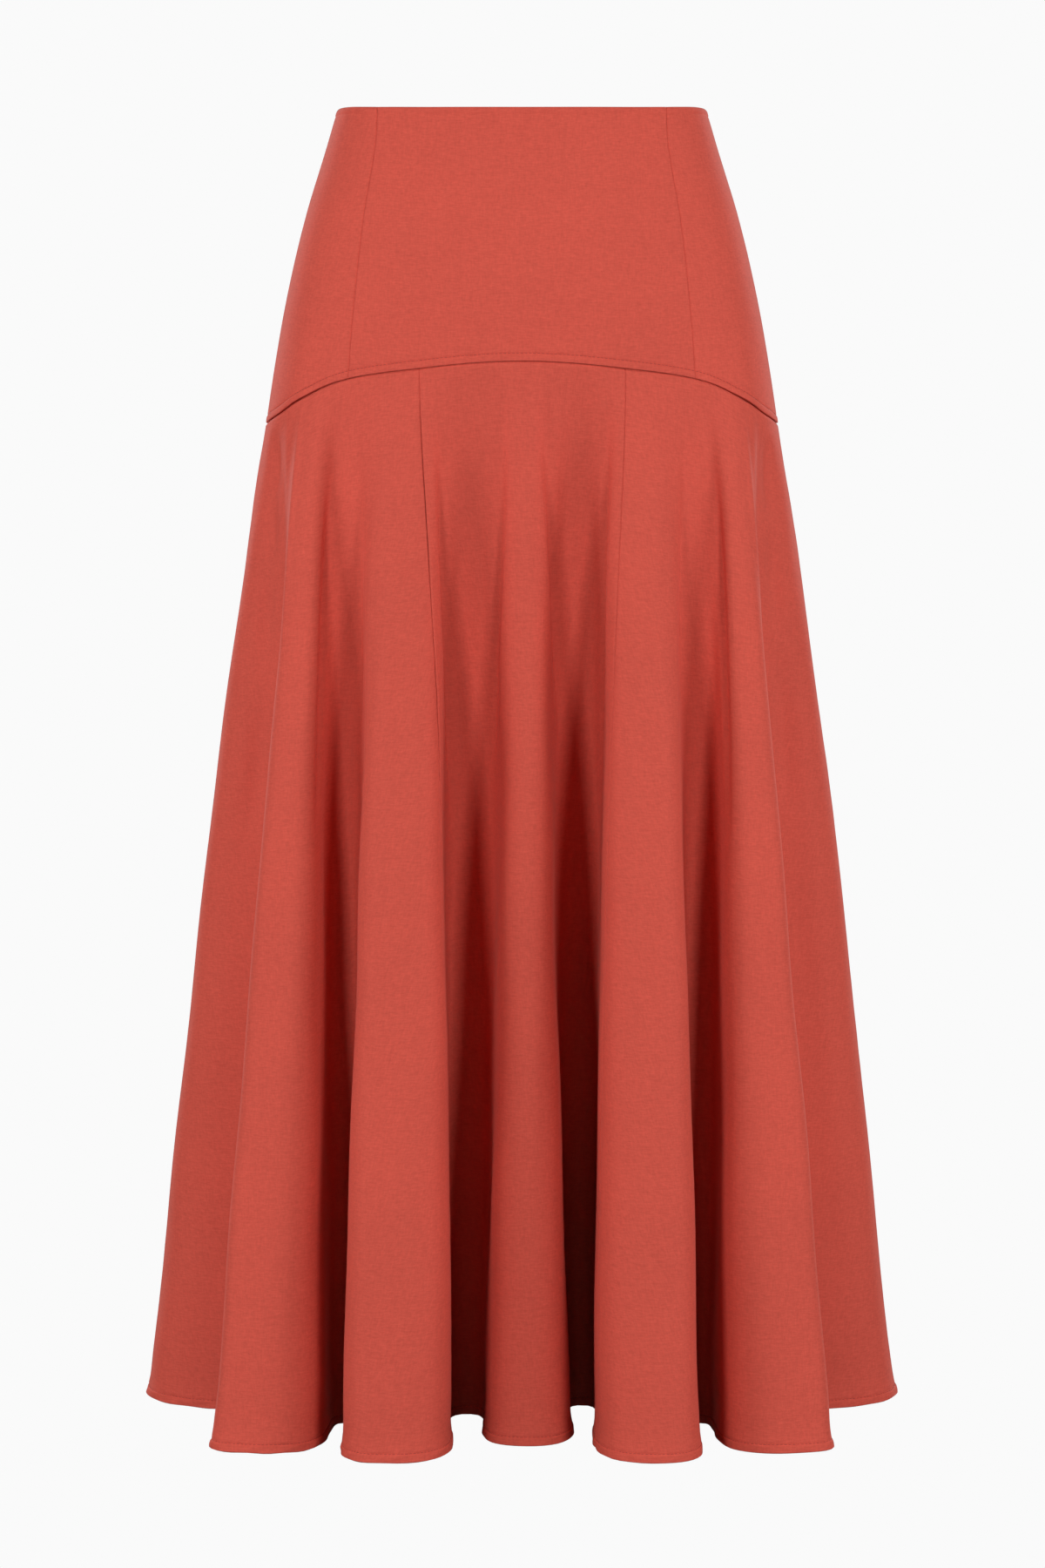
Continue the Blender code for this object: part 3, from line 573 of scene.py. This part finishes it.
# ---- stitches --------------------------------------------------------------------------------------------
def stitches(name, line, outward, look, length=STITCH, step=STITCH_STEP, radius=THREAD, lift=0.06):
    """Short raised threads along a line of points in millimetres, each dipping into the cloth at both ends."""
    s = np.append(0.0, np.cumsum(np.linalg.norm(np.diff(line, axis=0), axis=1)))
    count = max(1, int((s[-1] - 0.6) / step))
    centres = 0.3 + (s[-1] - 0.6) * (np.arange(count) + 0.5) / count
    verts, faces = [], []
    rings = ((-1.0, 0.25, -0.24), (-0.82, 0.85, -0.05), (-0.3, 1.0, 0.10), (0.3, 1.0, 0.10), (0.82, 0.85, -0.05),
             (1.0, 0.25, -0.24))
    sides = 6
    turn = [(math.cos(TAU * k / sides), math.sin(TAU * k / sides)) for k in range(sides)]
    for c in centres:
        half = length / 2 * (0.94 + 0.1 * rng.random())
        base = len(verts)
        for along, r, dip in rings:
            at = c + along * half
            p = np.array([np.interp(at, s, line[:, k]) for k in range(3)])
            n = np.array([np.interp(at, s, outward[:, k]) for k in range(3)])
            n /= np.linalg.norm(n)
            t = np.array([np.interp(at + 0.3, s, line[:, k]) - np.interp(at - 0.3, s, line[:, k]) for k in range(3)])
            t /= max(np.linalg.norm(t), 1e-9)
            side = np.cross(n, t)
            for cx, sy in turn:
                verts.append(p + n * (lift + dip + radius * r * sy * 0.85) + side * radius * r * cx)
        for k in range(len(rings) - 1):
            for m in range(sides):
                a, b = base + k * sides + m, base + k * sides + (m + 1) % sides
                faces.append((a, b, b + sides, a + sides))
        faces.append(tuple(base + m for m in range(sides))[::-1])
        faces.append(tuple(base + (len(rings) - 1) * sides + m for m in range(sides)))
    mesh = bpy.data.meshes.new(name)
    mesh.from_pydata([tuple(v * MM) for v in verts], [], faces)
    mesh.shade_smooth()
    mesh.materials.append(look)
    obj = bpy.data.objects.new(name, mesh)
    bpy.context.scene.collection.objects.link(obj)
    return obj


# ---- materials -------------------------------------------------------------------------------------------
def shader_of(name):
    mat = bpy.data.materials.new(name)
    mat.use_nodes = True
    return mat, mat.node_tree.nodes, mat.node_tree.links, mat.node_tree.nodes["Principled BSDF"]


def cloth_material():
    """A matte plain weave with slubs both ways, a cloudy dye and a little sheen."""
    mat, nodes, links, shader = shader_of("brick_red_cloth")

    def node(kind, **inputs):
        made = nodes.new(kind)
        for key, value in inputs.items():
            made.inputs[key.replace("_", " ")].default_value = value
        return made

    def math_node(operation, a, b=None, c=None):
        made = nodes.new("ShaderNodeMath")
        made.operation = operation
        for slot, value in enumerate((a, b, c)):
            if value is None:
                continue
            if isinstance(value, (int, float)):
                made.inputs[slot].default_value = value
            else:
                links.new(value, made.inputs[slot])
        return made.outputs[0]

    place = nodes.new("ShaderNodeUVMap")
    place.uv_map = "cloth"
    split = nodes.new("ShaderNodeSeparateXYZ")
    links.new(place.outputs["UV"], split.inputs[0])
    u, v = split.outputs[0], split.outputs[1]

    def streaks(scale_u, scale_v, detail, shift):
        join = nodes.new("ShaderNodeCombineXYZ")
        links.new(math_node("MULTIPLY", u, scale_u), join.inputs[0])
        links.new(math_node("MULTIPLY", v, scale_v), join.inputs[1])
        join.inputs[2].default_value = shift
        noise = node("ShaderNodeTexNoise", Scale=1.0, Detail=detail, Roughness=0.55)
        links.new(join.outputs[0], noise.inputs["Vector"])
        return math_node("SUBTRACT", noise.outputs["Fac"], 0.5)

    warp = streaks(950.0, 260.0, 3.0, 1.3)       # along the length
    weft = streaks(240.0, 1050.0, 3.0, 7.7)      # across
    slub_warp = streaks(420.0, 70.0, 1.0, 12.1)
    slub_weft = streaks(60.0, 460.0, 1.0, 21.9)
    cloud = streaks(14.0, 14.0, 2.0, 31.0)
    broad = streaks(4.5, 4.5, 1.0, 44.0)

    tone = math_node("MULTIPLY", warp, 0.25)
    tone = math_node("MULTIPLY_ADD", weft, 0.21, tone)
    tone = math_node("MULTIPLY_ADD", slub_warp, 0.09, tone)
    tone = math_node("MULTIPLY_ADD", slub_weft, 0.08, tone)
    tone = math_node("MULTIPLY_ADD", cloud, 0.11, tone)
    tone = math_node("MULTIPLY_ADD", broad, 0.08, tone)
    tone = math_node("ADD", tone, 1.0)

    # the dye: a brick red whose thinner yarns are a little more orange
    hue = node("ShaderNodeMix")
    hue.data_type = "RGBA"
    hue.inputs[6].default_value = (0.626, 0.080, 0.056, 1.0)
    hue.inputs[7].default_value = (0.686, 0.109, 0.073, 1.0)
    links.new(math_node("MULTIPLY_ADD", weft, 0.9, 0.5), hue.inputs[0])
    colour = nodes.new("ShaderNodeVectorMath")
    colour.operation = "SCALE"
    links.new(hue.outputs[2], colour.inputs[0])
    links.new(tone, colour.inputs[3])
    links.new(colour.outputs[0], shader.inputs["Base Color"])

    # the weave itself, about 22 threads to the centimetre, as relief
    pitch = TAU / 0.00090
    weave = math_node("MULTIPLY", math_node("SINE", math_node("MULTIPLY", u, pitch)),
                      math_node("SINE", math_node("MULTIPLY", v, pitch)))
    relief = math_node("MULTIPLY_ADD", weave, 0.22, math_node("MULTIPLY", warp, 0.9))
    relief = math_node("MULTIPLY_ADD", weft, 1.0, relief)
    relief = math_node("MULTIPLY_ADD", slub_weft, 0.6, relief)
    bump = node("ShaderNodeBump", Strength=0.35, Distance=0.00022)
    links.new(relief, bump.inputs["Height"])
    links.new(bump.outputs["Normal"], shader.inputs["Normal"])
    links.new(math_node("MULTIPLY_ADD", cloud, 0.12, 0.80), shader.inputs["Roughness"])
    shader.inputs["Specular IOR Level"].default_value = 0.12
    shader.inputs["Sheen Weight"].default_value = 0.26
    shader.inputs["Sheen Roughness"].default_value = 0.30
    shader.inputs["Sheen Tint"].default_value = (1.0, 0.62, 0.54, 1.0)
    return mat


def plain_material(name, colour, rough, metallic=0.0, grain=900.0, depth=0.00004, specular=0.4):
    mat, nodes, links, shader = shader_of(name)
    coords = nodes.new("ShaderNodeTexCoord")
    noise = nodes.new("ShaderNodeTexNoise")
    noise.inputs["Scale"].default_value = grain
    noise.inputs["Detail"].default_value = 3.0
    links.new(coords.outputs["Object"], noise.inputs["Vector"])
    ramp = nodes.new("ShaderNodeMix")
    ramp.data_type = "RGBA"
    ramp.inputs[6].default_value = (*[c * 0.86 for c in colour], 1.0)
    ramp.inputs[7].default_value = (*[min(1.0, c * 1.10) for c in colour], 1.0)
    links.new(noise.outputs["Fac"], ramp.inputs[0])
    links.new(ramp.outputs[2], shader.inputs["Base Color"])
    bump = nodes.new("ShaderNodeBump")
    bump.inputs["Strength"].default_value = 0.4
    bump.inputs["Distance"].default_value = depth
    links.new(noise.outputs["Fac"], bump.inputs["Height"])
    links.new(bump.outputs["Normal"], shader.inputs["Normal"])
    shader.inputs["Roughness"].default_value = rough
    shader.inputs["Metallic"].default_value = metallic
    shader.inputs["Specular IOR Level"].default_value = specular
    return mat


CLOTH = cloth_material()
THREAD_LOOK = plain_material("sewing_thread", (0.37, 0.045, 0.031), 0.62, grain=4000.0)
TAPE_LOOK = plain_material("zip_tape_weave", (0.50, 0.072, 0.050), 0.85, grain=2500.0, specular=0.2)
COIL_LOOK = plain_material("nylon_coil", (0.42, 0.056, 0.040), 0.42, grain=1800.0, specular=0.45)
METAL_LOOK = plain_material("lacquered_zinc", (0.47, 0.062, 0.044), 0.30, metallic=0.25, grain=300.0, depth=0.00001,
                            specular=0.5)

# ---- the skirt -------------------------------------------------------------------------------------------
sheet_sizes = {}
hem_lines, top_lines = {}, {}
for node_name, before, after in GORES:
    obj, outer, normals, area, facts = gore_panel(node_name, before, after, CLOTH)
    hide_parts(node_name)
    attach(obj, "skirt")
    row = int(np.argmin(np.abs(facts["from_hem"][:, 0] - HEM_STITCH)))
    thread = stitches("hem_stitching_" + node_name[5:], outer[row], normals[row], THREAD_LOOK)
    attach(thread, "skirt")
    width, length = facts["hem"] * MM, 0.735
    sheet_sizes[node_name] = (round(width, 3), round(facts["top"] * MM, 3), length, round(area, 3))

for node_name, before, after in YOKE_PANELS:
    obj, outer, normals, area, facts = yoke_panel(node_name, before, after, CLOTH)
    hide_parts(node_name)
    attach(obj, "skirt")
    row = int(np.argmin(np.abs(facts["from_low"][:, 10] - TOPSTITCH)))
    thread = stitches("topstitching_" + node_name[5:], outer[row], normals[row], THREAD_LOOK)
    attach(thread, "skirt")
    low, high = outer[-1], outer[0]
    width = max(np.linalg.norm(np.diff(low, axis=0), axis=1).sum(),
                np.linalg.norm(np.diff(high, axis=0), axis=1).sum()) * MM
    tall = np.linalg.norm(np.diff(outer[:, len(low) // 2], axis=0), axis=1).sum() * MM
    tall = max(tall, area / width)
    sheet_sizes[node_name] = (round(width, 3), round(tall, 3), round(area, 4))
print("SHEETS", json.dumps(sheet_sizes))


# ---- the zip ---------------------------------------------------------------------------------------------
def coil_teeth(name, look):
    """The closed coil's loops: a row of small rings down each half, one row set half a pitch lower."""
    verts, faces = [], []
    around, tube = 12, 6
    low = ZIP_BOTTOM + 2.5
    high = HEAD_Z - 6.2
    for side in (-1.0, 1.0):
        count = int((high - low) / COIL_PITCH)
        for k in range(count):
            z = high - COIL_PITCH * (k + (0.5 if side > 0 else 0.0))
            back = float(-body_ring(180.0, z)[1])
            base = len(verts)
            for m in range(around):
                turn = TAU * m / around
                for w in range(tube):
                    lean = TAU * w / tube
                    r = COIL_LOOP + COIL_WIRE * math.cos(lean)
                    verts.append(((side * COIL_AT + r * math.cos(turn)) * MM, (back - ZIP_IN + r * math.sin(turn)) * MM,
                                  (z + COIL_WIRE * math.sin(lean) + side * 0.18 * math.cos(turn)) * MM))
            for m in range(around):
                for w in range(tube):
                    a, b = base + m * tube + w, base + m * tube + (w + 1) % tube
                    c, d = base + (m + 1) % around * tube + (w + 1) % tube, base + (m + 1) % around * tube + w
                    faces.append((a, d, c, b))
    mesh = bpy.data.meshes.new(name)
    mesh.from_pydata(verts, [], faces)
    mesh.shade_smooth()
    mesh.materials.append(look)
    obj = bpy.data.objects.new(name, mesh)
    bpy.context.scene.collection.objects.link(obj)
    return obj


teeth = coil_teeth("zip_teeth", COIL_LOOK)
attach(teeth, "skirt")
for node_name, look in (("zip_tape_left", TAPE_LOOK), ("zip_tape_right", TAPE_LOOK), ("zip_slider", METAL_LOOK),
                        ("zip_pull", METAL_LOOK)):
    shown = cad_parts[node_name]
    shown.data.materials.clear()
    shown.data.materials.append(look)

# ---- camera ----------------------------------------------------------------------------------------------
camera_data = bpy.data.cameras.new("camera")
camera = bpy.data.objects.new("camera", camera_data)
bpy.context.scene.collection.objects.link(camera)
camera.location = (0.00042, -4.1, 0.0)
camera.rotation_euler = (math.radians(90.0 - 6.536), 0.0, 0.0)
camera_data.sensor_fit = "VERTICAL"
camera_data.sensor_height = 36.0
camera_data.lens = 6785.72 / 1800.0 * 36.0
camera_data.clip_end = 60.0
bpy.context.scene.camera = camera

# ---- studio ----------------------------------------------------------------------------------------------
world = bpy.data.worlds.new("studio")
bpy.context.scene.world = world
world.use_nodes = True
world.node_tree.nodes["Background"].inputs[0].default_value = (1.0, 0.985, 0.965, 1.0)
world.node_tree.nodes["Background"].inputs[1].default_value = 0.02


def softbox(name, place, target, wide, high, power, colour=(1.0, 1.0, 1.0)):
    data = bpy.data.lights.new(name, "AREA")
    data.shape = "RECTANGLE"
    data.size, data.size_y = wide, high
    data.energy = power
    data.color = colour
    lamp = bpy.data.objects.new(name, data)
    lamp.location = place
    lamp.rotation_euler = (Vector(target) - Vector(place)).to_track_quat("-Z", "Y").to_euler()
    bpy.context.scene.collection.objects.link(lamp)
    return lamp


def softbox_pair(name, azimuth, elevation, distance, wide, high, power, height=-0.45):
    """Two equal lamps, one to each side of the camera, turned to the middle of the skirt at that height."""
    a, e = math.radians(azimuth), math.radians(elevation)
    for side, sign in (("right", -1.0), ("left", 1.0)):
        place = (sign * distance * math.sin(a) * math.cos(e), -distance * math.cos(a) * math.cos(e),
                 height + distance * math.sin(e))
        softbox(name + "_" + side, place, (0.0, 0.0, height), wide, high, power)


# next to nothing shines straight in from the camera, so the deep folds stay dark
softbox("front", (0.0, -4.0, -0.6), (0.0, 0.0, -0.6), 0.6, 1.4, 2.6)
softbox_pair("key", 30.0, 14.0, 4.0, 0.8, 2.0, 57.0)
softbox_pair("hip", 68.0, 12.0, 2.2, 0.6, 0.9, 14.0, -0.10)
softbox_pair("side", 80.0, 5.0, 3.0, 0.8, 2.0, 13.5)
softbox_pair("back", 150.0, 14.0, 4.0, 0.8, 2.0, 57.0)


def cyclorama():
    """A pale floor that sweeps up into a wall all round."""
    profile = [(0.0, -1.5), (6.0, -1.5), (14.0, -1.5)]
    profile += [(14.0 + 4.0 * math.sin(math.radians(a)), 2.5 - 4.0 * math.cos(math.radians(a))) for a in
                range(10, 91, 10)]
    profile += [(18.0, 8.0), (18.0, 20.0)]
    mesh = bpy.data.meshes.new("pale_floor")
    bm = bmesh.new()
    edge = [bm.verts.new((x, 0.0, z)) for x, z in profile]
    edges = [bm.edges.new(pair) for pair in zip(edge, edge[1:])]
    bmesh.ops.spin(bm, geom=edge + edges, cent=(0, 0, 0), axis=(0, 0, 1), angle=TAU, steps=64)
    bmesh.ops.remove_doubles(bm, verts=bm.verts, dist=0.0005)
    bmesh.ops.recalc_face_normals(bm, faces=bm.faces)
    bm.to_mesh(mesh)
    bm.free()
    mesh.shade_smooth()
    floor = bpy.data.objects.new("pale_floor", mesh)
    bpy.context.scene.collection.objects.link(floor)
    mat, nodes, links, shader = shader_of("pale_paper")
    shader.inputs["Base Color"].default_value = (0.0, 0.0, 0.0, 1.0)
    shader.inputs["Roughness"].default_value = 1.0
    shader.inputs["Specular IOR Level"].default_value = 0.0
    shader.inputs["Emission Color"].default_value = (1.0, 1.0, 1.0, 1.0)
    shader.inputs["Emission Strength"].default_value = 0.956
    mesh.materials.append(mat)
    # it shows, but doesn't fill the folds with light or shut the world's light out
    floor.visible_diffuse = False
    floor.visible_glossy = False
    floor.visible_transmission = False
    floor.visible_shadow = False


cyclorama()
bpy.context.scene.view_settings.view_transform = "Standard"
bpy.context.scene.view_settings.look = "None"
